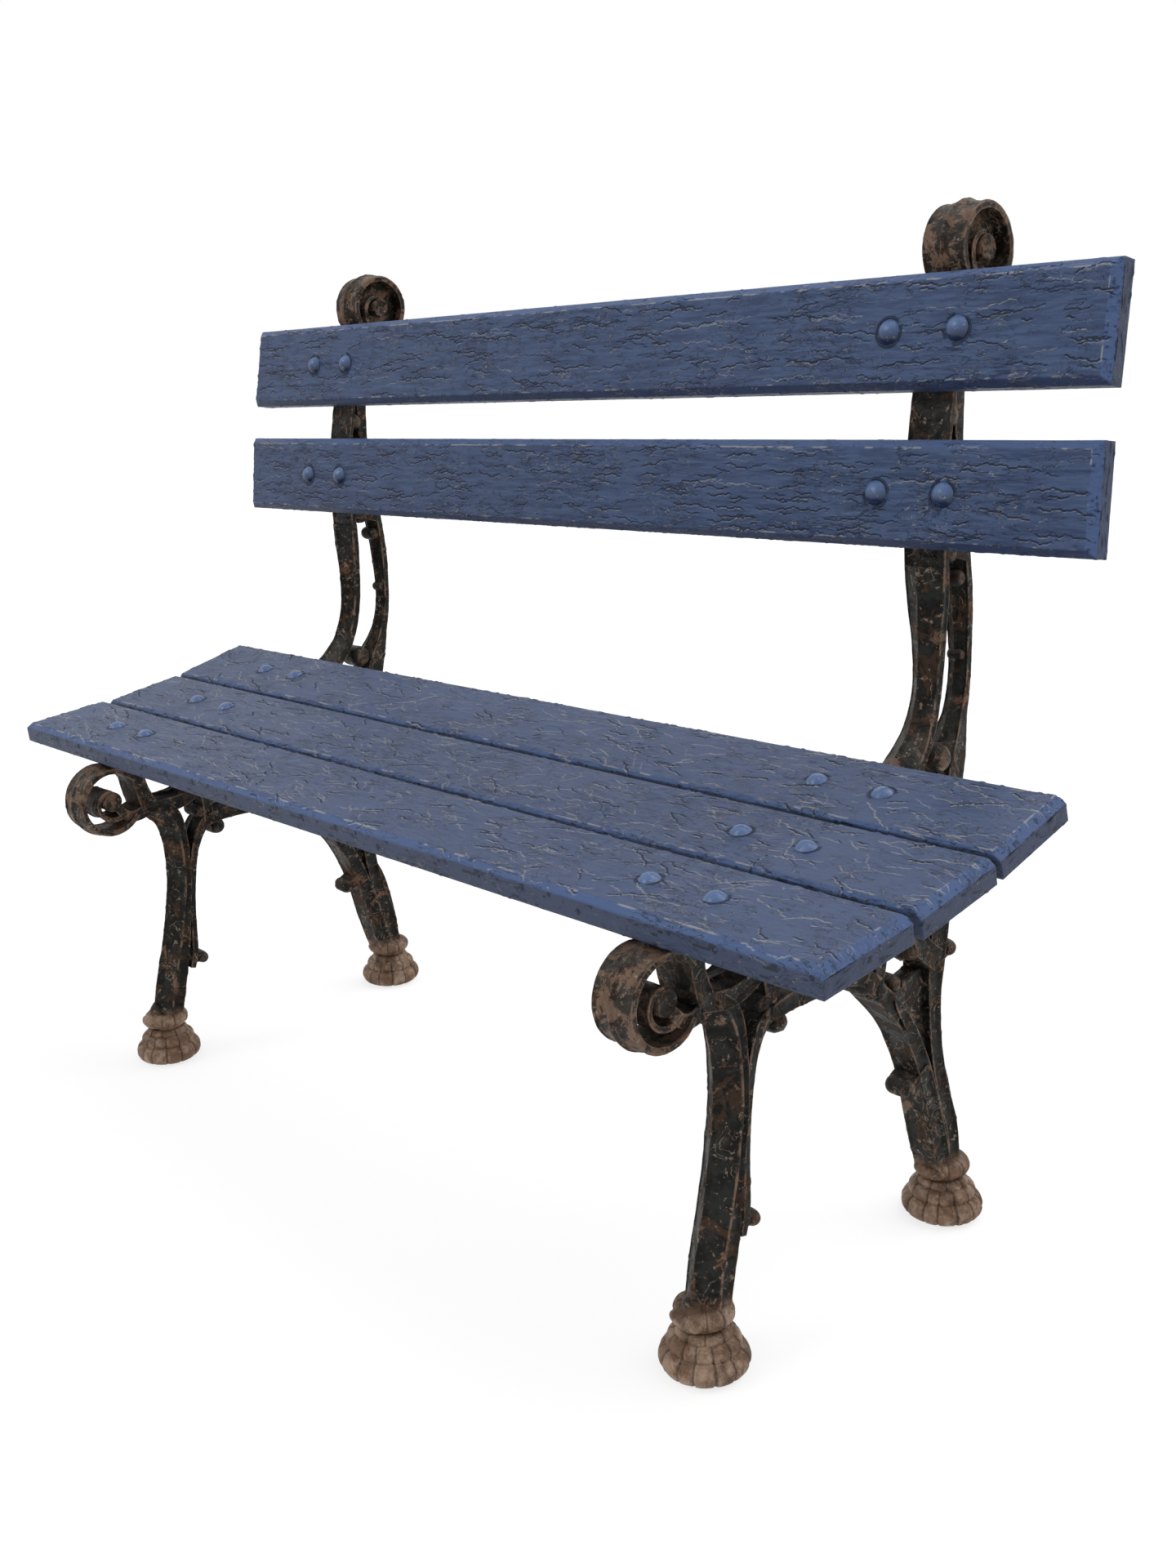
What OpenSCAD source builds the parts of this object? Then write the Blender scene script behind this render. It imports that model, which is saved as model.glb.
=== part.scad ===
// Garden bench: two cast iron end frames carry five painted planks, each held by four coach bolts.
// X runs along the bench, the sitter faces -Y, Z is up. The origin is on the ground,
// midway between the frames and at the middle of the bench's depth.

/* [Planks] */
// Length of every plank
plank_length = 1350; // [1150:10:1600]
// Thickness of every plank
plank_thickness = 25; // [20:1:27]
// Bevel along both long edges of the back planks
back_bevel = 7.5; // [3:0.5:9]
// Bevel along the front edge of the seat
seat_front_bevel = 5.5; // [2:0.5:8]
// Bevel along the other long edges of the seat planks
seat_bevel = 3; // [1:0.5:6]
// Bevel across both ends of every plank
end_bevel = 8; // [3:0.5:10]
// Width of the front seat plank
front_plank_width = 114; // [108:1:116]
// Width of the middle and rear seat planks
seat_plank_width = 107; // [100:1:108]
// Width of the lower back plank
lower_back_width = 102; // [90:1:110]
// Width of the upper back plank
upper_back_width = 109; // [95:1:112]

/* [Frames] */
// Distance of each frame's middle plane from the middle of the bench
frame_offset = 484; // [420:1:560]
// Width of a frame along the bench
frame_width = 46; // [40:1:52]
// Outer radius of the ribbon round the front scroll
front_scroll_radius = 44; // [42:1:46]
// Outer radius of the ribbon round the top scroll
top_scroll_radius = 45; // [42:1:47]
// Radius of a foot
foot_radius = 43; // [38:1:46]

/* [Fasteners] */
// Bolt shank diameter, M8
bolt_diameter = 8; // [6:1:10]
// Distance between the two bolts of a pair, along the bench
bolt_spacing = 75; // [66:1:84]
// Diameter of the domed heads on the seat
seat_dome_diameter = 21; // [17:0.5:24]
// Height of the domed heads on the seat
seat_dome_height = 6; // [4:0.5:8]
// Diameter of the domed heads on the back
back_dome_diameter = 24; // [20:0.5:26]
// Height of the domed heads on the back
back_dome_height = 8; // [6:0.5:10]

/* [Hidden] */
$fn = 48;

// Where each plank's front or lower edge lies on its show face: y, z, tilt from level,
// width, then the bevels along that edge and along the opposite one
FRONT_SEAT = [-246.5, 446.8, 6.6, front_plank_width, seat_front_bevel, seat_bevel];
MIDDLE_SEAT = [-122.4, 459.4, 10.6, seat_plank_width, seat_bevel, seat_bevel];
REAR_SEAT = [-10.3, 480.7, 15.4, seat_plank_width, seat_bevel, seat_bevel];
LOWER_BACK = [129, 710.6, 84.4, lower_back_width, back_bevel, back_bevel];
UPPER_BACK = [146.2, 859.1, 80.8, upper_back_width, back_bevel, back_bevel];
PLANKS = [FRONT_SEAT, MIDDLE_SEAT, REAR_SEAT, LOWER_BACK, UPPER_BACK];

// Lugs of the casting: pads that the planks are bolted down on
lug_length = bolt_spacing + 36;
lug_width = 46;
lug_thickness = 12;

// Washer and nut on the tail of a bolt, and the play round the bolt
washer_diameter = 24;
washer_thickness = 2;
nut_across_corners = 15;
nut_thickness = 6.5;
bolt_tail = 4;
hole_play = 0.8;
neck_side = bolt_diameter;
neck_depth = 5;
neck_play = 0.4;
thread_play = 0.1;
hole_diameter = bolt_diameter + hole_play;
bolt_grip = plank_thickness + lug_thickness + washer_thickness + nut_thickness + bolt_tail;

// Middles of the two scrolls and the two feet, as y and z
FRONT_EYE = [-234, 370];
TOP_EYE = [231, 989];
front_foot_y = -173;
rear_foot_y = 201;
eye_radius = 12.5;
ribbon = 10;

// Limbs of the casting. Each row is y, z, thickness behind the line, thickness before it.
FRONT_LEG = [[-174, 56, 14, 2], [-168, 95, 18, 2], [-154, 150, 15, 2], [-144, 200, 9.5, 2],
             [-138, 250, 9, 2], [-141, 300, 10, 2], [-150, 332, 13, 3], [-168, 352, 8, 6]];
// The second branch of the front leg, the chord under the seat and the brace of the rear leg
CHORD = [[-131, 134, 6, 6], [-130, 170, 4.5, 4.5], [-129, 210, 4.5, 4.5], [-125, 250, 4.5, 4.5],
         [-118, 285, 5.5, 5.5], [-104, 311, 8, 8], [-80, 321, 9, 9], [-40, 322, 9, 9], [0, 322, 9, 9],
         [36, 313, 9, 9], [72, 285, 10, 10], [110, 246, 10, 10], [135, 205, 10, 10],
         [152, 165, 11, 11], [166, 120, 12, 12], [177, 85, 12, 12], [187, 56, 8, 8]];
REAR_LEG = [[203, 56, 10, 10], [194, 105, 11, 11], [178, 150, 11, 11], [166, 200, 11, 11],
            [162, 250, 11, 11], [165, 290, 14, 14], [168, 330, 15, 15], [172, 380, 15, 15],
            [180, 430, 16, 16], [187, 465, 16, 16]];
// The rear leg and its brace are narrower than the work above, between these two levels
rear_leg_width = 33;
rear_leg_cut_bottom = 66.5;
rear_leg_cut_top = 283;
rear_leg_cut_front = 62;
// Half widths of the back ribbon where it narrows, as x and z, and where the room beside it is
WAIST = [[30, 492], [24, 500], [15.5, 530], [14, 560], [14.5, 590], [17, 620], [21, 655], [24, 680],
         [30, 688]];
waist_back = 190;
waist_depth = 64;
// The narrower ribbon that carries on from the rear leg, behind the back planks
BACK_UPRIGHT = [[184, 452, 14, 14], [194, 486, 13, 13], [206, 512, 9, 9], [216, 538, 6, 6],
                [222, 565, 5, 5], [224, 600, 5, 5], [220.5, 650, 5, 5], [212.5, 700, 5, 5],
                [203, 745, 5, 5], [195, 795, 6, 6], [192, 838, 8, 8], [195, 885, 8, 8],
                [197, 922, 7, 7], [194, 956, 3.5, 3.5]];
LOWER_LINK = [[162, 708, 9, 9], [186, 705, 8, 8], [214, 700, 8, 8]];
// The ribbon that runs back under the seat and sweeps up behind it to the top scroll
SEAT_RIBBON = [[-209, 415, 6, 6], [-180, 417, 6, 6], [-120, 420, 6, 6], [-60, 430, 6, 6],
               [-5, 439, 6, 6], [50, 456, 6, 6], [95, 475, 6, 6], [122, 494, 6, 6],
               [147, 520, 6, 4], [161, 550, 6, 4], [167, 580, 6, 4], [168, 610, 6, 4],
               [166, 650, 6, 4], [163, 700, 6, 3], [162, 745, 5, 3], [165, 795, 4, 2],
               [171, 838, 4, 2], [179, 880, 5, 2], [186.5, 925, 6, 3], [192.5, 960, 5, 4],
               [193, 980, 3, 3]];
// Rows of the seat ribbon between which its front stands out in a crest
behind_seat = 7;
below_back = 12;
SEAT_BRANCH = [[-186, 355, 9, 9], [-152, 350, 10, 10], [-122, 357, 9, 9], [-94, 378, 8.5, 8.5],
               [-74, 404, 8.5, 8.5], [-66, 427, 7, 7]];
FRONT_LINK = [[-98, 322, 7, 7], [-105, 368, 7, 7]];
SCROLL_STEM = [[-196, 415, 9, 9], [-194, 385, 9, 9], [-186, 360, 8, 8]];
SCROLL_NECK = [[-232, 366, 7, 7], [-216, 349, 7, 7], [-192, 347, 8, 8]];
REAR_STRUT = [[60, 298, 7, 7], [71, 340, 8, 8], [70, 400, 8, 8], [62, 460, 7, 7]];
INNER_STRUT = [[158, 296, 12, 12], [132, 318, 12, 12], [124, 355, 10, 10], [120, 410, 9, 9],
               [114, 486, 7, 7]];
STUBS = [[[-136, 134, 7, 7], [-119, 128, 6, 6]],
         [[152, 173, 9, 9], [128, 166, 8, 8]],
         [[120, 240, 8, 8], [104, 266, 7, 7], [99, 284, 7, 7]],
         [[166, 298, 10, 10], [186, 299, 8, 8]]];
// How much the bulb at the end of a stub stands out from it
stub_bulb = 1.5;
// Knots where branches meet, as y, z and radius
KNOTS = [[-82, 304, 11], [170, 500, 15], [181, 833, 13], [-186, 362, 13],
         [48, 300, 12], [196, 905, 12], [209, 674, 9], [216, 596, 7]];
// The thin web that fills the space between the brace and the rear leg
LEG_WEB = [[183, 60], [207, 60], [168, 190], [163, 280], [155, 296], [110, 262], [146, 186]];

// ---- outlines of the casting, drawn in its own y and z ----

// A smooth curve through rows of numbers, with curve_steps points from each row to the next
curve_steps = 3;

function blend(a, b, c, d, t) =
    (2 * b + (c - a) * t + (2 * a - 5 * b + 4 * c - d) * t * t + (3 * b - a - 3 * c + d) * t * t * t) / 2;

function smooth(rows) =
    let (last = len(rows) - 1)
    [for (i = [0 : last - 1], k = [0 : curve_steps - 1])
        blend(rows[max(i - 1, 0)], rows[i], rows[i + 1], rows[min(i + 2, last)], k / curve_steps),
     rows[last]];

// One side of a limb: each point moved off the line by its own thickness and by grow
function flank(line, side, column, grow) =
    let (last = len(line) - 1)
    [for (i = [0 : last])
        let (a = line[max(i - 1, 0)], b = line[min(i + 1, last)],
             run = [b[0] - a[0], b[1] - a[1]] / norm([b[0] - a[0], b[1] - a[1]]),
             out = side * (line[i][column] + grow))
        [line[i][0] - run[1] * out, line[i][1] + run[0] * out]];

function reversed(list) = [for (i = [len(list) - 1 : -1 : 0]) list[i]];

// A limb with square ends along a smooth line. A crest thickens it on its front side only,
// and keeps its other side buried in the limb.
module limb(line, crest = 0) {
    behind = crest > 0 ? -3 : 0;
    polygon(concat(flank(line, 1, 3, crest), reversed(flank(line, -1, 2, behind))));
}

// Rows along an arc or a spiral round a middle, from angle a to angle b
function arc_rows(middle, r_a, r_b, a, b, half, steps = 14) =
    [for (i = [0 : steps])
        let (angle = a + (b - a) * i / steps, r = r_a + (r_b - r_a) * i / steps)
        [middle[0] + r * cos(angle), middle[1] + r * sin(angle), half, half]];

function front_scroll_line() =
    arc_rows(FRONT_EYE, front_scroll_radius - ribbon / 2, front_scroll_radius - ribbon / 2,
             -40, -322, ribbon / 2);

function top_scroll_outer() =
    arc_rows(TOP_EYE, top_scroll_radius - ribbon / 2, top_scroll_radius - ribbon / 2 - 2,
             210, -60, ribbon / 2);

function top_scroll_inner() =
    arc_rows(TOP_EYE, top_scroll_radius - ribbon / 2 - 2, eye_radius + 2, -48, -250, ribbon / 2 - 1);

module at(place) {
    translate([place[0], place[1]]) children();
}

module crested_limbs(crest) {
    limb(smooth(FRONT_LEG), crest);
    limb(front_scroll_line(), crest * 0.2);
    limb(top_scroll_outer(), crest * 0.2);
    ribbon_line = smooth(SEAT_RIBBON);
    limb([for (i = [behind_seat * curve_steps : below_back * curve_steps]) ribbon_line[i]], crest * 0.6);
}

// The limbs behind the back planks, which are narrower than the rest
module narrow_limbs() {
    limb(smooth(BACK_UPRIGHT));
    limb(smooth(LOWER_LINK));
}

module plain_limbs() {
    for (rows = [CHORD, REAR_LEG, SEAT_RIBBON, SEAT_BRANCH, FRONT_LINK,
                 SCROLL_STEM, SCROLL_NECK, REAR_STRUT, INNER_STRUT])
        limb(smooth(rows));
    limb(top_scroll_inner());
    for (stub = STUBS) {
        tip = stub[len(stub) - 1];
        limb(smooth(stub));
        at(tip) circle(r = tip[2] + stub_bulb);
    }
    for (knot = KNOTS)
        at(knot) circle(r = knot[2]);
    at(FRONT_EYE) circle(r = eye_radius);
    at(TOP_EYE) circle(r = eye_radius);
}

// Turns an outline drawn in y and z into a slab of the given width across x = 0
module slab(width) {
    rotate([90, 0, 90])
        translate([0, 0, -width / 2])
            linear_extrude(height = width) children();
}

module foot(y) {
    translate([0, y, 0]) {
        cylinder(h = 18, r = foot_radius - 9);
        rotate_extrude() translate([foot_radius - 11, 13]) circle(r = 11);
        translate([0, 0, 20]) cylinder(h = 26, r1 = foot_radius - 5, r2 = foot_radius - 19);
        translate([0, 0, 46]) cylinder(h = 20, r1 = foot_radius - 19, r2 = foot_radius - 23);
        rotate_extrude() translate([foot_radius - 22, 56]) circle(r = 7);
    }
}

// ---- planks and what holds them ----

// Puts children on a plank's show face, +Z out of the face and +Y across the plank
module on_plank(plank) {
    translate([0, plank[0], plank[1]]) rotate([plank[2], 0, 0]) children();
}

// Puts children at each of the two bolts of one frame, at x = side * frame_offset
module at_bolts(plank, side) {
    on_plank(plank)
        for (step = [-1, 1])
            translate([side * frame_offset + step * bolt_spacing / 2, plank[3] / 2, 0]) children();
}

module lug(plank) {
    on_plank(plank)
        translate([-lug_length / 2, plank[3] / 2 - lug_width / 2, -plank_thickness - lug_thickness])
            cube([lug_length, lug_width, lug_thickness]);
}

module lug_holes(plank) {
    on_plank(plank)
        for (step = [-1, 1])
            translate([step * bolt_spacing / 2, plank[3] / 2, -plank_thickness - 2 * lug_thickness])
                cylinder(h = 3 * lug_thickness, d = hole_diameter);
}

// The rear leg and its brace are narrower than the branch work above them
module rear_leg_cuts() {
    for (side = [0, 1])
        mirror([side, 0, 0])
            translate([rear_leg_width / 2, rear_leg_cut_front, rear_leg_cut_bottom])
                cube([frame_width, 4 * foot_radius, rear_leg_cut_top - rear_leg_cut_bottom]);
}

// The back ribbon narrows where it bends: this is the room cut away on both sides of it
module waist_cuts() {
    for (side = [-1, 1])
        translate([0, waist_back, 0])
            rotate([90, 0, 0])
                linear_extrude(height = waist_depth)
                    polygon([for (point = WAIST) [side * point[0], point[1]]]);
}

module frame(side) {
    color("#3a332c")
        translate([side * frame_offset, 0, 0])
            difference() {
                union() {
                    slab(frame_width) {
                        crested_limbs(0);
                        plain_limbs();
                    }
                    slab(frame_width * 0.45) narrow_limbs();
                    slab(frame_width * 0.6) crested_limbs(9);
                    slab(frame_width * 0.25) crested_limbs(16);
                    slab(frame_width * 0.4) {
                        polygon(LEG_WEB);
                        at(TOP_EYE) circle(r = top_scroll_radius - ribbon / 2);
                    }
                    foot(front_foot_y);
                    foot(rear_foot_y);
                    for (plank = PLANKS)
                        lug(plank);
                }
                for (plank = PLANKS)
                    lug_holes(plank);
                waist_cuts();
                rear_leg_cuts();
            }
}

// A board seen end on: show face at the top, bevelled at the near and the far edge
module board_section(width, near_bevel, far_bevel) {
    polygon([[0, -plank_thickness], [width, -plank_thickness], [width, -far_bevel],
             [width - far_bevel, 0], [near_bevel, 0], [0, -near_bevel]]);
}

module plank(place) {
    color("#3f4f78")
        difference() {
            on_plank(place)
                intersection() {
                    rotate([90, 0, 90])
                        translate([0, 0, -plank_length / 2])
                            linear_extrude(height = plank_length)
                                board_section(place[3], place[4], place[5]);
                    translate([-plank_length / 2, place[3], 0])
                        rotate([90, 0, 0])
                            linear_extrude(height = place[3])
                                board_section(plank_length, end_bevel, end_bevel);
                }
            for (side = [-1, 1])
                at_bolts(place, side) {
                    translate([0, 0, -2 * plank_thickness])
                        cylinder(h = 3 * plank_thickness, d = hole_diameter);
                    translate([0, 0, -neck_depth / 2])
                        cube([neck_side + neck_play, neck_side + neck_play, neck_depth + neck_play],
                             center = true);
                }
        }
}

module coach_bolt(dome_diameter, dome_height) {
    ball_radius = (pow(dome_diameter / 2, 2) + pow(dome_height, 2)) / (2 * dome_height);
    intersection() {
        translate([0, 0, dome_height - ball_radius]) sphere(r = ball_radius);
        cylinder(h = dome_height, d = dome_diameter);
    }
    translate([0, 0, -neck_depth / 2])
        cube([neck_side, neck_side, neck_depth], center = true);
    translate([0, 0, -bolt_grip])
        cylinder(h = bolt_grip, d = bolt_diameter);
}

module washer() {
    translate([0, 0, -plank_thickness - lug_thickness - washer_thickness])
        difference() {
            cylinder(h = washer_thickness, d = washer_diameter);
            translate([0, 0, -1]) cylinder(h = washer_thickness + 2, d = hole_diameter);
        }
}

module nut() {
    translate([0, 0, -plank_thickness - lug_thickness - washer_thickness - nut_thickness])
        difference() {
            cylinder(h = nut_thickness, d = nut_across_corners, $fn = 6);
            translate([0, 0, -1]) cylinder(h = nut_thickness + 2, d = bolt_diameter + thread_play);
        }
}

module seat_bolts(place, side) {
    color("#4a6296") at_bolts(place, side) coach_bolt(seat_dome_diameter, seat_dome_height);
}

module back_bolts(place, side) {
    color("#4a6296") at_bolts(place, side) coach_bolt(back_dome_diameter, back_dome_height);
}

module washers(place, side) {
    color("#7d7a74") at_bolts(place, side) washer();
}

module nuts(place, side) {
    color("#6b675f") at_bolts(place, side) nut();
}

frame(-1);  // frame_left
frame(1);  // frame_right
plank(FRONT_SEAT);  // seat_plank_front
plank(MIDDLE_SEAT);  // seat_plank_middle
plank(REAR_SEAT);  // seat_plank_rear
plank(LOWER_BACK);  // back_plank_lower
plank(UPPER_BACK);  // back_plank_upper
seat_bolts(FRONT_SEAT, -1);  // bolts_seat_front_left
seat_bolts(FRONT_SEAT, 1);  // bolts_seat_front_right
seat_bolts(MIDDLE_SEAT, -1);  // bolts_seat_middle_left
seat_bolts(MIDDLE_SEAT, 1);  // bolts_seat_middle_right
seat_bolts(REAR_SEAT, -1);  // bolts_seat_rear_left
seat_bolts(REAR_SEAT, 1);  // bolts_seat_rear_right
back_bolts(LOWER_BACK, -1);  // bolts_back_lower_left
back_bolts(LOWER_BACK, 1);  // bolts_back_lower_right
back_bolts(UPPER_BACK, -1);  // bolts_back_upper_left
back_bolts(UPPER_BACK, 1);  // bolts_back_upper_right
washers(FRONT_SEAT, -1);  // washers_seat_front_left
washers(FRONT_SEAT, 1);  // washers_seat_front_right
washers(MIDDLE_SEAT, -1);  // washers_seat_middle_left
washers(MIDDLE_SEAT, 1);  // washers_seat_middle_right
washers(REAR_SEAT, -1);  // washers_seat_rear_left
washers(REAR_SEAT, 1);  // washers_seat_rear_right
washers(LOWER_BACK, -1);  // washers_back_lower_left
washers(LOWER_BACK, 1);  // washers_back_lower_right
washers(UPPER_BACK, -1);  // washers_back_upper_left
washers(UPPER_BACK, 1);  // washers_back_upper_right
nuts(FRONT_SEAT, -1);  // nuts_seat_front_left
nuts(FRONT_SEAT, 1);  // nuts_seat_front_right
nuts(MIDDLE_SEAT, -1);  // nuts_seat_middle_left
nuts(MIDDLE_SEAT, 1);  // nuts_seat_middle_right
nuts(REAR_SEAT, -1);  // nuts_seat_rear_left
nuts(REAR_SEAT, 1);  // nuts_seat_rear_right
nuts(LOWER_BACK, -1);  // nuts_back_lower_left
nuts(LOWER_BACK, 1);  // nuts_back_lower_right
nuts(UPPER_BACK, -1);  // nuts_back_upper_left
nuts(UPPER_BACK, 1);  // nuts_back_upper_right
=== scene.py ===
import bpy
import numpy as np
from mathutils import Matrix


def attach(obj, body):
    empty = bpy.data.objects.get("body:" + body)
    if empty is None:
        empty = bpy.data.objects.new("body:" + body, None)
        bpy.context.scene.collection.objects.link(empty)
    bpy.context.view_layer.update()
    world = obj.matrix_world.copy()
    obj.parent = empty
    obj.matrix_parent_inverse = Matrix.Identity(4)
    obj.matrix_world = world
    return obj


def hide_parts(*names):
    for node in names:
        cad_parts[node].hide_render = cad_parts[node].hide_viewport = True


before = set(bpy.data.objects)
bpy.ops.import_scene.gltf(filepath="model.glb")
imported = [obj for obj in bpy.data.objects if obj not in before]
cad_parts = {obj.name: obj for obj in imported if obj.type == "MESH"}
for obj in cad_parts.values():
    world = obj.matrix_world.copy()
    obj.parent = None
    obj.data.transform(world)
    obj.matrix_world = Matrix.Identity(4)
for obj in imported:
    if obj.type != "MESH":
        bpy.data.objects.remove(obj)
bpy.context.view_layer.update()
MM = 0.001

# ---- Cast iron end frames ----
# Each end frame is one sand casting. Scrolled ribbons and ridged limbs branch like vines and stand
# on two petalled feet. The black paint has worn through to brown rust, and the raised edges are bare.
FRAME_OFFSET = 484
FRAME_NODES = {"frame_left": -FRAME_OFFSET, "frame_right": FRAME_OFFSET}
HALF_WIDTH = 23
FRONT_EYE = (-234, 370)
TOP_EYE = (231, 989)
FRONT_FOOT_Y = -173
REAR_FOOT_Y = 201

# Limbs as rows of y, z, thickness behind the line and thickness before it
FRONT_LEG = [(-174, 52, 14, 2), (-168, 95, 17, 2), (-154, 150, 14, 2), (-144, 200, 9.5, 2),
             (-138, 250, 9, 2), (-141, 300, 10, 2), (-150, 332, 12, 3), (-166, 352, 8, 6)]
FRONT_BRANCH = [(-136, 118, 4, 4), (-131, 140, 5, 5), (-130, 170, 4.5, 4.5), (-129, 210, 4.5, 4.5),
                (-125, 250, 5, 5), (-118, 285, 6, 6), (-104, 311, 8, 8), (-84, 321, 9, 9)]
CHORD = [(-96, 318, 8, 8), (-70, 322, 9, 9), (-40, 322, 9, 9), (0, 322, 9, 9), (36, 313, 9, 9),
         (60, 297, 10, 10)]
BRACE = [(44, 308, 9, 9), (72, 285, 10, 10), (110, 246, 10, 10), (135, 205, 10, 10),
         (152, 165, 11, 11), (166, 120, 12, 12), (177, 85, 12, 12), (186, 52, 9, 9)]
REAR_LEG = [(203, 52, 9, 9), (194, 105, 10, 10), (178, 150, 10, 10), (166, 200, 10, 10),
            (162, 250, 11, 11), (165, 290, 14, 14), (168, 330, 15, 15), (172, 380, 15, 15),
            (180, 430, 16, 16), (188, 465, 17, 17)]
BACK_UPRIGHT = [(185, 458, 14, 14), (194, 486, 13, 13), (206, 512, 9, 9), (216, 538, 6, 6),
                (222, 565, 4.5, 4.5), (224, 600, 4.5, 4.5), (220.5, 650, 4.5, 4.5),
                (212.5, 700, 4.5, 4.5), (203, 745, 5, 5), (195, 795, 6, 6), (192, 838, 8, 8),
                (195, 885, 8, 8), (197, 922, 7, 7), (194, 956, 4, 4)]
LOWER_LINK = [(162, 708, 10, 10), (186, 705, 9, 9), (212, 700, 10, 10)]
SEAT_RIBBON = [(-209, 415, 6, 6), (-180, 417, 6, 6), (-120, 420, 6, 6), (-60, 430, 6, 6),
               (-5, 439, 6, 6), (50, 456, 6, 6), (95, 475, 6, 6), (122, 494, 6, 6)]
BACK_RIBBON = [(102, 479, 7, 4), (122, 494, 7, 4), (147, 520, 7, 4), (161, 550, 7, 4),
               (167, 580, 7, 4), (168, 610, 7, 4), (166, 650, 7, 4), (163, 690, 7, 3)]
UPPER_RIBBON = [(163.5, 684, 6, 3), (162, 745, 5, 3), (165, 795, 4, 2), (171, 838, 4, 2),
                (179, 880, 5, 2), (186.5, 925, 6, 3), (192, 958, 5, 4)]
SEAT_BRANCH = [(-186, 355, 9, 9), (-152, 350, 10, 10), (-122, 357, 9, 9), (-94, 378, 8.5, 8.5),
               (-74, 404, 8.5, 8.5), (-66, 427, 7, 7)]
FRONT_LINK = [(-97, 316, 8, 8), (-99, 345, 7.5, 7.5), (-105, 372, 9, 9)]
SCROLL_STEM = [(-197, 418, 10, 10), (-194, 385, 9, 9), (-184, 356, 11, 11)]
SCROLL_NECK = [(-226, 360, 6, 6), (-216, 349, 7, 7), (-204, 345, 8, 8), (-186, 350, 9, 9)]
REAR_STRUT = [(60, 298, 9, 9), (71, 340, 8, 8), (70, 400, 8, 8), (62, 462, 8, 8)]
INNER_STRUT = [(160, 296, 12, 12), (134, 318, 12, 12), (124, 355, 10, 10), (120, 410, 9, 9),
               (114, 486, 8, 8)]
STUBS = [[(-140, 140, 8, 8), (-128, 129, 6, 6), (-120, 128, 5, 5)],
         [(156, 178, 9, 9), (138, 170, 8, 8), (130, 167, 7, 7)],
         [(122, 238, 9, 9), (106, 262, 8, 8), (99, 280, 7, 7)],
         [(166, 298, 12, 12), (184, 299, 8, 8)]]
# Half widths along the limbs that narrow, as height and half width
RIBBON_WAIST = ((470, 23), (500, 20), (530, 15.5), (560, 14), (590, 14.5), (620, 17), (655, 21),
                (690, 23))
UPRIGHT_WAIST = ((458, 20), (500, 17), (535, 11), (600, 11), (650, 14), (750, 17), (960, 18))
REAR_LEG_WIDTHS = ((52, 16), (290, 16), (360, 20), (465, 22))
# Barrel shaped knots where limbs meet or end, as y, z, radius and half width
KNOTS = [(-118, 127, 8, 19), (-82, 304, 11, 21), (170, 500, 15, 22), (186, 702, 12, 18),
         (181, 833, 13, 20), (-186, 361, 13, 21), (48, 302, 12, 22), (196, 905, 11, 20),
         (207, 674, 9, 14), (217, 596, 6.5, 9), (126, 166, 10, 16), (99, 286, 9, 16),
         (189, 299, 9, 20), (124, 316, 13, 21), (-106, 330, 10, 21), (70, 288, 12, 20)]
# Each limb with the height of its crest, its half width, and how far its sides are recessed
LIMBS = [(FRONT_LEG, 16, 20.5, 2.5), (FRONT_BRANCH, 3, 17, 0), (CHORD, 3, 21, 1.5), (BRACE, 5, 16, 3),
         (REAR_LEG, 0, REAR_LEG_WIDTHS, 3), (BACK_UPRIGHT, 7, UPRIGHT_WAIST, 0), (LOWER_LINK, 2, 17, 0),
         (SEAT_RIBBON, 0, HALF_WIDTH, 1), (BACK_RIBBON, 13, RIBBON_WAIST, 1),
         (UPPER_RIBBON, 0, HALF_WIDTH, 0.5), (SEAT_BRANCH, 4, 21, 2), (FRONT_LINK, 3, 20, 1),
         (SCROLL_STEM, 4, 22, 2), (SCROLL_NECK, 0, 21, 1.5), (REAR_STRUT, 4, 20, 1),
         (INNER_STRUT, 4, 21, 2)]
STUB_HALF_WIDTH = 15
# The thin web that fills the corner between the brace and the rear leg
REAR_WEB = [(193, 62, 22, 12), (186, 110, 22, 12), (172, 160, 22, 14), (150, 215, 16, 18),
            (140, 250, 20, 18), (132, 285, 14, 18)]
REAR_WEB_HALF_WIDTH = 9


def through(rows, step):
    """Points about step apart on a smooth curve through rows of numbers."""
    rows = np.array(rows, float)
    padded = np.vstack([rows[:1], rows, rows[-1:]])
    points = []
    for a, b, c, d in zip(padded, padded[1:], padded[2:], padded[3:]):
        count = max(2, int(np.hypot(*(c - b)[:2]) / step))
        t = (np.arange(count) / count)[:, None]
        points.append((2 * b + (c - a) * t + (2 * a - 5 * b + 4 * c - d) * t ** 2
                       + (3 * b - a - 3 * c + d) * t ** 3) / 2)
    return np.vstack(points + [rows[-1:]])


def spiral(middle, start_radius, end_radius, start_angle, end_angle, half, end_half=None):
    """Rows along a spiral about a middle, half being half of the ribbon's thickness."""
    end_half = half if end_half is None else end_half
    share = np.linspace(0, 1, 5 + int(abs(end_angle - start_angle) / 5))
    angle = np.radians(start_angle + (end_angle - start_angle) * share)
    radius = start_radius + (end_radius - start_radius) * share
    thick = half + (end_half - half) * share
    return np.stack([middle[0] + radius * np.cos(angle), middle[1] + radius * np.sin(angle),
                     thick, thick], 1)


def soft_step(value, low, high):
    t = np.clip((value - low) / (high - low), 0, 1)
    return t * t * (3 - 2 * t)


LATTICE = np.random.default_rng(7).random((32, 32, 32))


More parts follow.
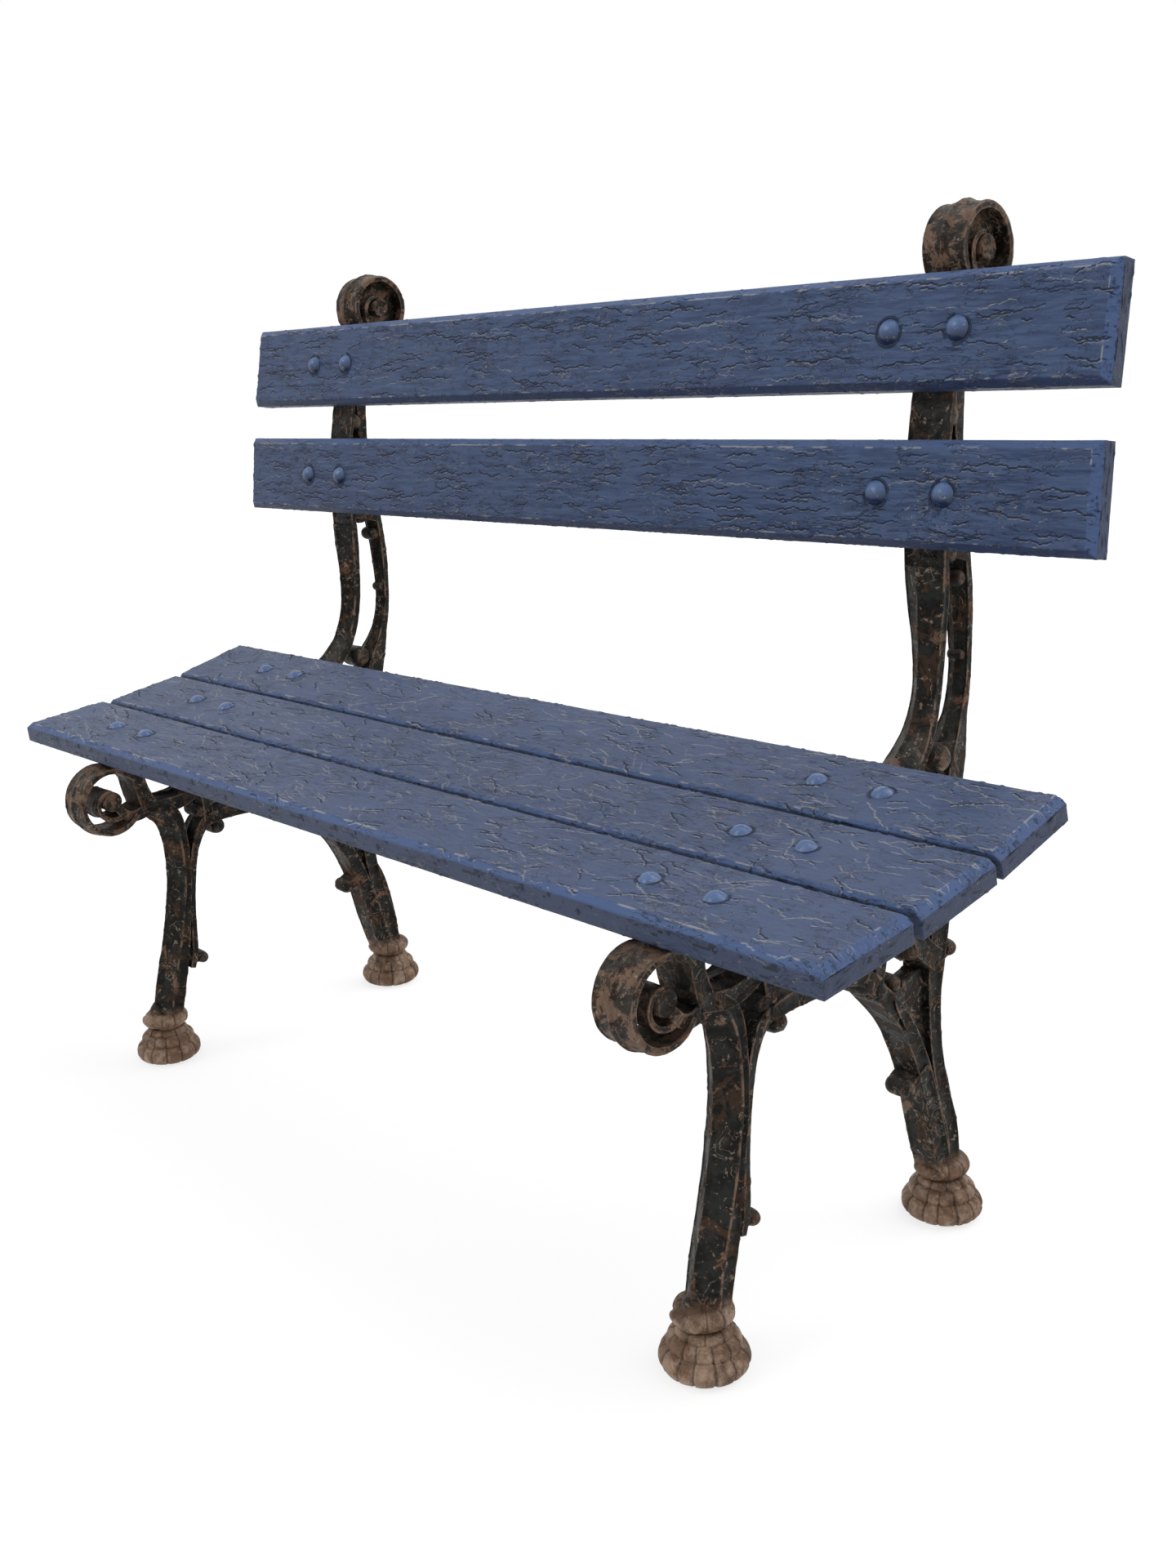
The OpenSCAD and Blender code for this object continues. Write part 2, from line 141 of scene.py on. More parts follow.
def cloud(points, size, shift, octaves=3):
    """Smooth noise from -1 to 1 over points in millimetres; size is one lump, or one per axis."""
    total, weight = 0.0, 0.0
    for octave in range(octaves):
        place = points / (np.array(size) / 2 ** octave) + shift + 11.3 * octave
        cell = np.floor(place).astype(int)
        part = place - cell
        part = part * part * (3 - 2 * part)
        found = 0.0
        for corner in np.ndindex(2, 2, 2):
            share = np.prod(np.where(np.array(corner) == 1, part, 1 - part), axis=1)
            x, y, z = ((cell + corner) % 32).T
            found = found + share * LATTICE[x, y, z]
        total = total + (2 * found - 1) * 0.5 ** octave
        weight += 0.5 ** octave
    return total / weight


class Pieces:
    """Collects grids of points into one mesh, with how worn each point is and where shade is painted."""

    def __init__(self):
        self.points, self.faces, self.wear, self.count = [], [], [], 0

    def tube(self, rings, wear):
        """rings is stations by ring by xyz. The two open ends are closed with flat fans."""
        stations, around = rings.shape[:2]
        number = self.count + np.arange(stations * around).reshape(stations, around)
        nxt = np.roll(number, -1, axis=1)
        quads = np.stack([number[:-1], nxt[:-1], nxt[1:], number[1:]], -1).reshape(-1, 4)
        self.faces += quads.tolist()
        self.points.append(rings.reshape(-1, 3))
        self.wear.append(np.broadcast_to(wear, (stations, around)).reshape(-1))
        self.count += stations * around
        for end, ring in ((0, number[0][::-1]), (-1, number[-1])):
            self.points.append(rings[end].mean(0)[None])
            self.wear.append(np.zeros(1))
            self.faces += [(int(a), int(b), self.count)
                           for a, b in zip(ring, np.roll(ring, -1))]
            self.count += 1

    def mesh(self, name):
        points = np.vstack(self.points)
        mesh = bpy.data.meshes.new(name)
        mesh.from_pydata((points * MM).tolist(), [], self.faces)
        mesh.update()
        wear = mesh.attributes.new("wear", "FLOAT", "POINT")
        wear.data.foreach_set("value", np.concatenate(self.wear).astype(np.float32))
        return mesh


def points_of(mesh):
    co = np.empty(len(mesh.vertices) * 3)
    mesh.vertices.foreach_get("co", co)
    return co.reshape(-1, 3) / MM


def push_out(mesh, distance):
    """Moves every point of a mesh along its own normal by a distance in millimetres."""
    normals = np.array([n.vector for n in mesh.vertex_normals])
    moved = points_of(mesh) + normals * np.asarray(distance)[:, None]
    mesh.vertices.foreach_set("co", (moved * MM).ravel())
    mesh.update()


def finish_piece(mesh, name, material, nodes):
    """Makes a visible piece of a mesh, to stand in place of CAD nodes."""
    mesh.materials.append(material)
    mesh.shade_smooth()
    piece = bpy.data.objects.new(name, mesh)
    bpy.context.scene.collection.objects.link(piece)
    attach(piece, "root")
    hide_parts(*nodes)


# How far a limb's front panel and its back are sunk between the rims, and its corners are eased
PANEL_SINK = 1.6
BACK_SINK = 1.2
ROUND_OFF = 0.8


def sweep(pieces, rows, crest=0.0, half_width=HALF_WIDTH, side_recess=0.0, step=3.0):
    """One limb: a ribbon half_width wide each way whose front stands out in a ridge of height crest.
    half_width may also be pairs of height and half width."""
    line = through(rows, step)
    if isinstance(half_width, tuple):
        half_width = np.interp(line[:, 1], *zip(*half_width))[:, None]
    run = np.gradient(line[:, :2], axis=0)
    run /= np.linalg.norm(run, axis=1)[:, None]
    behind, before = line[:, 2:3], line[:, 3:4]
    steps, front_count, back_count = len(line), 33, 19

    # The front: a panel sunk between a rim along each edge and, on a crested limb, a rib
    across = np.linspace(-1, 1, front_count)
    raised = soft_step(np.abs(across), 0.86, 0.95)
    bare = soft_step(np.abs(across), 0.93, 1.0)
    if crest > 0:
        raised = np.maximum(raised, 1 - soft_step(np.abs(across), 0.05, 0.13))
        bare = np.maximum(bare, 0.7 * (1 - soft_step(np.abs(across), 0.0, 0.06)))
    front = before + crest * (1 - np.abs(across)) ** 0.9 + PANEL_SINK * (raised - 1)
    edge = before - ROUND_OFF
    front[:, [0, -1]] = edge

    # The sides, recessed between their own rims
    down = np.linspace(0.1, 0.9, 9)
    thickness = behind + edge
    side_out = edge - thickness * down
    border = np.minimum(down, 1 - down) * thickness
    side_x = half_width - side_recess * soft_step(border, 2.0, 4.5)
    bare_side = 1 - soft_step(border, 0.8, 2.4)

    # The back, which is nearly flat
    back_across = np.linspace(1, -1, back_count)
    back = -behind + BACK_SINK * (1 - soft_step(np.abs(back_across), 0.8, 0.95))
    back[:, [0, -1]] = -behind + ROUND_OFF
    bare_back = soft_step(np.abs(back_across), 0.88, 1.0)

    x = np.hstack([np.broadcast_to(across * half_width, (steps, front_count)), side_x,
                   np.broadcast_to(back_across * half_width, (steps, back_count)), -side_x[:, ::-1]])
    out = np.hstack([front, side_out, back, side_out[:, ::-1]])
    wear = np.hstack([np.broadcast_to(bare, (steps, front_count)), bare_side,
                      np.broadcast_to(bare_back, (steps, back_count)), bare_side[:, ::-1]])
    rings = np.stack([x, line[:, :1] - run[:, 1:] * out, line[:, 1:2] + run[:, :1] * out], -1)
    pieces.tube(rings[:, ::-1], wear[:, ::-1])


def turned(pieces, profile, middle, axis, lobes=lambda turn, along: 0.0, around=72, wear=0.0):
    """A turned body. profile is rows of distance along the axis and radius; lobes swells the radius."""
    profile = np.array(profile, float)
    turn = np.linspace(0, 2 * np.pi, around, endpoint=False)[None]
    along = profile[:, :1]
    radius = profile[:, 1:2] + lobes(turn, along) * np.minimum(1, profile[:, 1:2] / 10)
    a, b = radius * np.cos(turn), radius * np.sin(turn)
    level = np.broadcast_to(along, a.shape)
    if axis == "x":
        rings = np.stack([level, middle[0] + a, middle[1] + b], -1)
    else:
        rings = np.stack([a, middle[0] + b, middle[1] + level], -1)
    pieces.tube(rings, wear)


def barrel(pieces, y, z, radius, half_width):
    """A knot: a short barrel lying along x, with a rim round each end."""
    share = np.linspace(-1, 1, 25)
    swell = (1 - np.abs(share) ** 4) ** 0.5
    profile = np.stack([half_width * share, radius * (0.12 + 0.88 * swell)], 1)
    turned(pieces, profile, (y, z), "x", wear=soft_step(np.abs(share), 0.75, 0.92)[:, None] * 0.6,
           around=40)


def lobed(pieces, profile, y, count, depth):
    """A ring of a foot, divided by grooves into a number of lobes."""
    around = count * 14
    turn = np.linspace(0, 2 * np.pi, around, endpoint=False)
    uneven = turn + 0.09 * np.sin(2 * turn + depth) + 0.05 * np.sin(5 * turn + 3 * depth)
    groove = 1 - soft_step(np.abs(np.sin(uneven * count / 2)), 0.0, 0.42)
    # The grooves are stored below 0, where painted shade darkens them
    turned(pieces, profile, (y, 0), "z", lambda turn, along: -depth * groove, around, -groove)


def bead(level, radius, swell):
    """Half round rows for a ring of the foot, swelling out about a radius at a level."""
    lean = np.radians(np.arange(-85, 95, 8.5))
    return [(level + swell * np.sin(a), radius + swell * np.cos(a)) for a in lean]


def foot(pieces, y):
    """A lobed foot: a fat ring, two tiers of petals, and a collar with a leaf folded over its front.
    Rows are height above the ground and radius."""
    fat_ring = [(0.0, 5.0), (0.0, 20.0), (0.0, 31.0)] + bead(12.0, 30.5, 11.5) + [(23.5, 15.0)]
    lower_petals = [(18.0, 18.0)] + bead(27.0, 26.0, 8.5) + [(35.5, 12.0)]
    upper_petals = [(30.0, 14.0)] + bead(36.5, 20.0, 6.5) + [(43.0, 10.0)]
    neck = [(38.0, 10.0), (38.0, 18.5), (52.0, 18.5), (52.0, 10.0)]
    collar = [(46.0, 10.0)] + bead(55.5, 19.5, 8.8) + [(64.5, 8.0)]
    leaf = [(56.0, 10.5), (62.0, 11.5), (68.0, 9.5), (74.0, 6.5), (79.0, 3.0), (81.0, 0.6)]
    for ring, lobes, groove_depth in ((fat_ring, 12, 2.2), (lower_petals, 12, 2.0),
                                      (upper_petals, 8, 1.5)):
        lobed(pieces, ring, y, lobes, groove_depth)
    turned(pieces, neck, (y, 0), "z", around=96)
    lobed(pieces, collar, y, 8, 1.0)
    share = np.linspace(-1, 1, 29)
    fold_half_length, fold_radius, fold_forward, fold_height = 19, 8.0, 23, 54
    fold = np.stack([fold_half_length * share, fold_radius * np.sqrt(1.004 - share ** 2)], 1)
    turned(pieces, fold, (y - fold_forward, fold_height), "x", around=32, wear=0.35)
    leaf_forward = 14
    turned(pieces, leaf, (y - leaf_forward, 0), "z", around=40, wear=0.25)


# A lug: its top and bottom are levels below the plank's show face
LUG_TOP = -25.2
LUG_BOTTOM = -37
LUG_HALF_LENGTH = 55
LUG_HALF_DEPTH = 23
LUG_SQUARENESS = 0.22


def lug(pieces, y, z, tilt, width):
    """A flat pad of the casting that a plank is bolted down on, under the middle of the plank."""
    turn = np.radians(np.arange(0, 360, 6))
    halves = ((LUG_HALF_LENGTH, np.cos(turn)), (LUG_HALF_DEPTH, np.sin(turn)))
    outline = np.stack([half * np.sign(part) * np.abs(part) ** LUG_SQUARENESS
                        for half, part in halves], 1)
    angle = np.radians(tilt)
    # Share of the outline, level, and how bare it is
    layers = ((0.3, LUG_TOP, 0), (0.7, LUG_TOP, 0), (0.97, LUG_TOP, 0.8), (1.0, LUG_TOP - 1, 0.8),
              (1.0, LUG_TOP - 4, 0), (1.0, LUG_BOTTOM + 4, 0), (1.0, LUG_BOTTOM + 1, 0.8),
              (0.97, LUG_BOTTOM, 0.8), (0.7, LUG_BOTTOM, 0), (0.3, LUG_BOTTOM, 0))
    rings, wear = [], []
    for share, level, bare in layers:
        local_y = outline[:, 1] * share + width / 2
        rings.append(np.stack([outline[:, 0] * share,
                               y + local_y * np.cos(angle) - level * np.sin(angle),
                               z + local_y * np.sin(angle) + level * np.cos(angle)], 1))
        wear.append([float(bare)])
    pieces.tube(np.array(rings)[::-1], np.array(wear[::-1]))


# Where each plank's front or lower edge lies on its show face: y, z, tilt from level, width
PLANKS = {"seat_plank_front": (-246.5, 446.8, 6.6, 114), "seat_plank_middle": (-122.4, 459.4, 10.6, 107),
          "seat_plank_rear": (-10.3, 480.7, 15.4, 107), "back_plank_lower": (129, 710.6, 84.4, 102),
          "back_plank_upper": (146.2, 859.1, 80.8, 109)}


def end_frame(offset, shift):
    """The whole casting, drawn about x = 0 and then moved to its place along the bench."""
    pieces = Pieces()
    for rows, crest, half_width, side_recess in LIMBS:
        sweep(pieces, rows, crest, half_width, side_recess)
    for stub in STUBS:
        sweep(pieces, stub, 0, STUB_HALF_WIDTH)
    for knot in KNOTS:
        barrel(pieces, *knot)

    # Each scroll is an outer ring with a ribbon curling in to its eye
    sweep(pieces, spiral(FRONT_EYE, 40, 40, -34, -326, 4), 3)
    sweep(pieces, spiral(FRONT_EYE, 27, 12, -40, -270, 4, 2.5), 0, 20, step=2)
    sweep(pieces, spiral(TOP_EYE, 40.5, 38, 212, -75, 4), 3.5)
    sweep(pieces, spiral(TOP_EYE, 38, 14, -50, -260, 4, 2.5), 0, 21, step=2)
    eye_radius = 12.5
    for middle in (FRONT_EYE, TOP_EYE):
        profile = [(-20, 3), (-20, 8), (-21.5, 9.5), (-22.5, 11), (-21.5, eye_radius)]
        profile += [(x, eye_radius) for x in np.linspace(-18, 18, 15)]
        profile += [(-x, r) for x, r in profile[4::-1]]
        turned(pieces, profile, middle, "x", around=48, wear=0.3)
    disc = [(-9, 5), (-9, 20), (-9, 37), (9, 37), (9, 20), (9, 5)]
    turned(pieces, disc, TOP_EYE, "x", around=64)

    sweep(pieces, REAR_WEB, 0, REAR_WEB_HALF_WIDTH)
    foot(pieces, FRONT_FOOT_Y)
    foot(pieces, REAR_FOOT_Y)
    for place in PLANKS.values():
        lug(pieces, *place)

    # The skin of the casting: soft lumps and small pits, but a flat sole to stand on
    mesh = pieces.mesh("casting")
    points = points_of(mesh)
    lumps = 0.5 * cloud(points, 16, shift) + 0.28 * cloud(points, 5, shift + 3)
    pits = -0.7 * soft_step(cloud(points, 7, shift + 9, 2), 0.35, 0.6)
    sole = soft_step(points[:, 2], 0.5, 4)
    push_out(mesh, (lumps + pits) * sole)
    points = points_of(mesh) + (offset, 0, 0)
    mesh.vertices.foreach_set("co", (points * MM).ravel())
    mesh.update()
    return mesh


class Shader:
    """A short hand for building a procedural material out of nodes."""

    def __init__(self, name):
        self.material = bpy.data.materials.new(name)
        self.material.use_nodes = True
        self.nodes = self.material.node_tree.nodes
        self.links = self.material.node_tree.links
        self.surface = self.nodes["Principled BSDF"]
        self.place = self.node("ShaderNodeTexCoord").outputs["Object"]

    def node(self, kind, **settings):
        made = self.nodes.new(kind)
        for key, value in settings.items():
            setattr(made, key, value)
        return made

    def feed(self, socket, value):
        if isinstance(value, bpy.types.NodeSocket):
            self.links.new(value, socket)
        elif isinstance(value, tuple):
            socket.default_value = value + (1.0,) if len(socket.default_value) == 4 else value
        else:
            socket.default_value = value

    def stretched(self, scale):
        mapping = self.node("ShaderNodeMapping")
        self.feed(mapping.inputs["Vector"], self.place)
        self.feed(mapping.inputs["Scale"], scale)
        return mapping.outputs["Vector"]

    def noise(self, scale, detail=4.0, rough=0.55, place=None, warp=0.0):
        made = self.node("ShaderNodeTexNoise")
        self.feed(made.inputs["Vector"], self.place if place is None else place)
        self.feed(made.inputs["Scale"], scale)
        self.feed(made.inputs["Detail"], detail)
        self.feed(made.inputs["Roughness"], rough)
        self.feed(made.inputs["Distortion"], warp)
        return made.outputs["Fac"]

    def math(self, operation, a, b=0.0):
        made = self.node("ShaderNodeMath", operation=operation, use_clamp=True)
        self.feed(made.inputs[0], a)
        self.feed(made.inputs[1], b)
        return made.outputs[0]

    def offset(self, value, middle):
        """How far a value is from a middle, either way."""
        made = self.node("ShaderNodeMath", operation="SUBTRACT")
        self.feed(made.inputs[0], value)
        self.feed(made.inputs[1], middle)
        return self.math("ABSOLUTE", made.outputs[0])

    def between(self, value, low, high, at_low=0.0, at_high=1.0):
        made = self.node("ShaderNodeMapRange", interpolation_type="SMOOTHSTEP")
        for key, number in (("Value", value), ("From Min", low), ("From Max", high),
                            ("To Min", at_low), ("To Max", at_high)):
            self.feed(made.inputs[key], number)
        return made.outputs["Result"]

    def mix(self, share, a, b):
        made = self.node("ShaderNodeMix", data_type="RGBA")
        self.feed(made.inputs["Factor"], share)
        self.feed(made.inputs["A"], a)
        self.feed(made.inputs["B"], b)
        return made.outputs["Result"]

    def drawn(self, name):
        """A number stored at each point of the mesh."""
        made = self.node("ShaderNodeAttribute", attribute_name=name)
        return made.outputs["Fac"]

    def along(self, axis):
        made = self.node("ShaderNodeSeparateXYZ")
        self.feed(made.inputs[0], self.place)
        return made.outputs[axis]

    def facing_up(self):
        """How far the surface faces up, from -1 to 1."""
        made = self.node("ShaderNodeSeparateXYZ")
        self.feed(made.inputs[0], self.node("ShaderNodeNewGeometry").outputs["Normal"])
        return made.outputs["Z"]

    def bump(self, height, distance, under=None):
        made = self.node("ShaderNodeBump")
        self.feed(made.inputs["Height"], height)
        self.feed(made.inputs["Distance"], distance)
        self.feed(made.inputs["Strength"], 1.0)
        if under is not None:
            self.feed(made.inputs["Normal"], under)
        return made.outputs["Normal"]

    def done(self, color, roughness, normal, metallic, shine):
        self.feed(self.surface.inputs["Base Color"], color)
        self.feed(self.surface.inputs["Roughness"], roughness)
        self.feed(self.surface.inputs["Metallic"], metallic)
        self.feed(self.surface.inputs["Specular IOR Level"], shine)
        self.feed(self.surface.inputs["Normal"], normal)
        return self.material


def old_iron():
    """Black paint over brown rust, bare and coppery on the edges, earthy on the feet."""
    black_paint, green_paint = (0.003, 0.0032, 0.0028), (0.013, 0.0145, 0.0125)
    brown_rust, red_rust = (0.034, 0.020, 0.012), (0.105, 0.048, 0.027)
    copper, rubbed_copper, bare_edge = (0.17, 0.10, 0.065), (0.145, 0.088, 0.060), (0.19, 0.118, 0.08)
    dust, scratch, groove = (0.12, 0.105, 0.09), (0.25, 0.20, 0.15), (0.012, 0.009, 0.007)
    earth, pale_earth, damp_earth = (0.135, 0.076, 0.046), (0.31, 0.215, 0.155), (0.05, 0.031, 0.021)
    s = Shader("old_iron")

    # Paint, then the rust that shows through it
    color = s.mix(s.between(s.noise(60, 5, 0.62), 0.42, 0.62), black_paint, green_paint)
    patches = s.noise(34, 7, 0.7, warp=0.7)
    color = s.mix(s.between(patches, 0.52, 0.60), color, brown_rust)
    color = s.mix(s.between(s.noise(30, 8, 0.74, warp=1.2), 0.575, 0.63), color, red_rust)
    facing_up = s.facing_up()
    coppery = s.between(s.noise(50, 6, 0.7, warp=0.8), 0.595, 0.63)
    color = s.mix(s.math("MULTIPLY", coppery, 0.65), color, copper)
    dusty = s.math("MULTIPLY", s.between(facing_up, 0.15, 0.95),
                   s.between(s.noise(40, 6, 0.7), 0.35, 0.65))
    color = s.mix(s.math("MULTIPLY", dusty, 0.55), color, dust)

    # The two scrolls stand proud and are rubbed the most
    on_top_scroll = s.between(s.along("Z"), 0.935, 0.965)
    on_front_scroll = s.between(s.along("Y"), -0.215, -0.195, 1.0, 0.0)
    rubbing = s.between(s.noise(44, 6, 0.7, warp=0.5), 0.50, 0.56, 0.05, 0.75)
    rubbed = s.math("MULTIPLY", s.math("MAXIMUM", on_top_scroll, on_front_scroll), rubbing)
    color = s.mix(rubbed, color, rubbed_copper)

    # The feet stand in soil
    low = s.between(s.along("Z"), 0.058, 0.074, 1.0, 0.0)
    soil = s.mix(s.between(s.noise(48, 6, 0.68), 0.40, 0.66), earth, pale_earth)
    damp = s.between(s.noise(26, 6, 0.7, warp=0.8), 0.50, 0.60, 0.0, 0.6)
    soil = s.mix(damp, soil, damp_earth)
    color = s.mix(s.math("MULTIPLY", low, 0.9), color, soil)

    # Curling scratches, chips and bare edges, and painted shade darkening the grooves of the feet
    curl = s.noise(38, 3, 0.5, warp=1.6)
    lines = s.math("MULTIPLY", s.between(s.offset(curl, 0.5), 0.004, 0.016, 1.0, 0.0),
                   s.between(s.noise(21, 3, 0.6), 0.47, 0.55))
    color = s.mix(s.math("MULTIPLY", lines, 0.6), color, scratch)
    chips = s.between(s.noise(150, 4, 0.62), 0.63, 0.67)
    color = s.mix(s.math("MULTIPLY", chips, 0.6), color, scratch)
    worn = s.math("MULTIPLY", s.between(s.drawn("wear"), 0.25, 0.85),
                  s.between(s.noise(52, 5, 0.72), 0.43, 0.58))
    color = s.mix(s.math("MULTIPLY", worn, 0.7), color, bare_edge)
    # Painted shade: the grooves of the feet, stored below 0, are darkened nearly to black
    color = s.mix(s.between(s.drawn("wear"), -0.95, -0.25, 0.6, 0.0), color, groove)

    roughness = s.between(patches, 0.45, 0.62, 0.42, 0.75)
    normal = s.bump(s.noise(120, 6, 0.68), 0.0012)
    normal = s.bump(s.between(patches, 0.50, 0.58), 0.0006, normal)
    normal = s.bump(s.math("SUBTRACT", 1.0, lines), 0.0006, normal)
    return s.done(color, roughness, normal, 0.0, 0.14)


iron = old_iron()
for number, (node, offset) in enumerate(FRAME_NODES.items()):
    finish_piece(end_frame(offset, 5.0 * number), node + "_casting", iron, [node])

# ---- Planks ----
# Five softwood boards, three for the seat and two for the back. The show face is bevelled all
# round. Many coats of blue gloss follow the raised grain, and have cracked and chipped at the edges.
PLANK_LENGTH = 1350
PLANK_THICKNESS = 25
END_BEVEL = 8
# The bevels along the near and the far long edge of each
EDGE_BEVELS = {"seat_plank_front": (5.5, 3), "seat_plank_middle": (3, 3), "seat_plank_rear": (3, 3),
               "back_plank_lower": (7.5, 7.5), "back_plank_upper": (7.5, 7.5)}
# Radius and height of the bolt heads, which the paint has cracked around
SEAT_DOME = (10.5, 6)
BACK_DOME = (12, 8)
BOLT_SPACING = 75
# Number of cracks, share that show only a pale edge painted as a highlight, scale of their length, and
# spread of their heading
SEAT_CRACKS = (430, 0.68, 9, 0.45)
BACK_CRACKS = (330, 0.25, 14, 0.08)
# Height of the raised grain on the seat and on the back
SEAT_GRAIN = 0.34
BACK_GRAIN = 0.62
# How far each kind of mark goes in, and how far a crack's lip stands out
CRACK_DEPTH = 1.1
LIP_HEIGHT = 0.4
RING_DEPTH = 0.7
DENT_DEPTH = 0.6
CHIP_DEPTH = 0.8
NICK_DEPTH = 0.5
RAGGED_DEPTH = 0.5
SHRINKAGE = 0.15
BACK_TILT = 45


def on_back(plank_name):
    """Whether a plank is one of the back's, which lean more than BACK_TILT from level."""
    return PLANKS[plank_name][2] > BACK_TILT


def plank_rings(width, near_bevel, far_bevel):
    """Rings of points round a board's section from end to end, and which part each point is on."""
    half = PLANK_LENGTH / 2
    end_zone, lengthwise_count, side_count, under_count = 16.5, 960, 8, 30
    near_end = np.concatenate([np.arange(0, 12, 1.0), [13.2, 14.8]])
    middle_run = np.linspace(-half + end_zone, half - end_zone, lengthwise_count)
    stations = np.concatenate([-half + near_end, middle_run, (half - near_end)[::-1]])
    near_steps = np.linspace(0, near_bevel + 1.5, 8)
    far_steps = np.linspace(0, far_bevel + 1.5, 8)
    face = np.concatenate([near_steps, np.linspace(near_bevel + 2.5, width - far_bevel - 2.5, 112),
                           (width - far_steps)[::-1]])
    end_fall = END_BEVEL - (half - np.abs(stations))[:, None]
    fall = np.maximum(np.maximum(near_bevel - face, far_bevel - (width - face))[None], end_fall)
    top = -0.5 * (fall + np.sqrt(fall ** 2 + 0.6))
    levels = np.linspace(0, 1, side_count + 2)[1:-1]
    far_edge = top[:, -1:] + (-PLANK_THICKNESS - top[:, -1:]) * levels
    near_edge = top[:, :1] + (-PLANK_THICKNESS - top[:, :1]) * levels[::-1]
    below = np.linspace(width, 0, under_count)
    underside = np.full((len(stations), under_count), -PLANK_THICKNESS)
    local_y = np.concatenate([face, np.full(side_count, width), below, np.zeros(side_count)])
    local_y = np.broadcast_to(local_y, (len(stations), len(local_y)))
    local_z = np.hstack([top, far_edge, underside, near_edge])
    x = np.broadcast_to(stations[:, None], local_y.shape)
    rings = np.stack([x, local_y, local_z], -1)
    # The sides, underside and ends are marked -1, where painted shade darkens them
    hidden = np.full((len(stations), 2 * side_count + under_count), -1.0)
    part = np.hstack([soft_step(fall, -0.6, 0.4), hidden])
    middle = rings[0].mean(0)
    caps = np.array([middle + (rings[0] - middle) * share
                     for share in (0.1, 0.3, 0.5, 0.7, 0.85, 0.96)])
    end_caps = caps[::-1].copy()
    end_caps[..., 0] = half
    bare = np.full((len(caps), part.shape[1]), -1.0)
    return np.concatenate([caps, rings, end_caps]), np.concatenate([bare, part, bare])


def cracks(width, kind, seed):
    """Cracks in the paint, wandering along the grain, drawn on a fine grid over the show face.
    Gives a grid of how deep the paint is cut and one of how far its lifted edge stands."""
    rng = np.random.default_rng(seed)
    cell, stride, steps = 0.5, 0.7, 170
    count, pale_share, length_scale, heading_spread = kind
    grid = np.zeros((2, int(PLANK_LENGTH / cell) + 1, int(width / cell) + 1))
    way = np.arange(steps) * stride
    length = 10 + rng.gamma(2.0, length_scale, (count, 1))
    heading = rng.normal(0, heading_spread, (count, 1))
    for wave, swing in ((55, 0.16), (19, 0.28), (7, 0.35)):
        start = rng.uniform(0, 2 * np.pi, (count, 1))
        heading = heading + swing * np.sin(way / wave * 2 * np.pi + start)
    x = rng.uniform(0, PLANK_LENGTH, (count, 1)) + np.cumsum(np.cos(heading) * stride, 1)
    y = rng.uniform(0, width, (count, 1)) + np.cumsum(np.sin(heading) * stride, 1)
    strength = rng.uniform(0.45, 1.0, (count, 1)) * np.clip(np.minimum(way, length - way) / 5, 0, 1)
    is_pale = rng.random((count, 1)) < pale_share
    for step_x in range(-3, 4):
        for step_y in range(-5, 4):
            i = np.rint(x / cell).astype(int) + step_x
            j = np.rint(y / cell).astype(int) + step_y
            inside = (i >= 0) & (i < grid.shape[1]) & (j >= 0) & (j < grid.shape[2])
            inside = inside & (strength > 0)
            away = np.hypot(i * cell - x, j * cell - y)
            beside = np.where(is_pale, away, np.hypot(i * cell - x, j * cell - y + 1.5))
            cut = np.where(is_pale, 0.0, 1 - soft_step(away, 0.15, 0.95))
            for layer, nearness in ((0, cut), (1, 1 - soft_step(beside, 0.2, 0.95))):
                np.maximum.at(grid[layer], (i[inside], j[inside]), (strength * nearness)[inside])
    return grid, cell


def bolt_rings(points, width, radius):
    """Nearness, from 0 to 1, to the crack in the paint that runs round each bolt head."""
    found = np.zeros(len(points))
    for offset in (-FRAME_OFFSET, FRAME_OFFSET):
        for step in (-0.5, 0.5):
            away = np.hypot(points[:, 0] - offset - step * BOLT_SPACING, points[:, 1] - width / 2)
            found = np.maximum(found, 1 - soft_step(np.abs(away - radius - 2), 0.6, 2.2))
    return found * (points[:, 2] > -2)


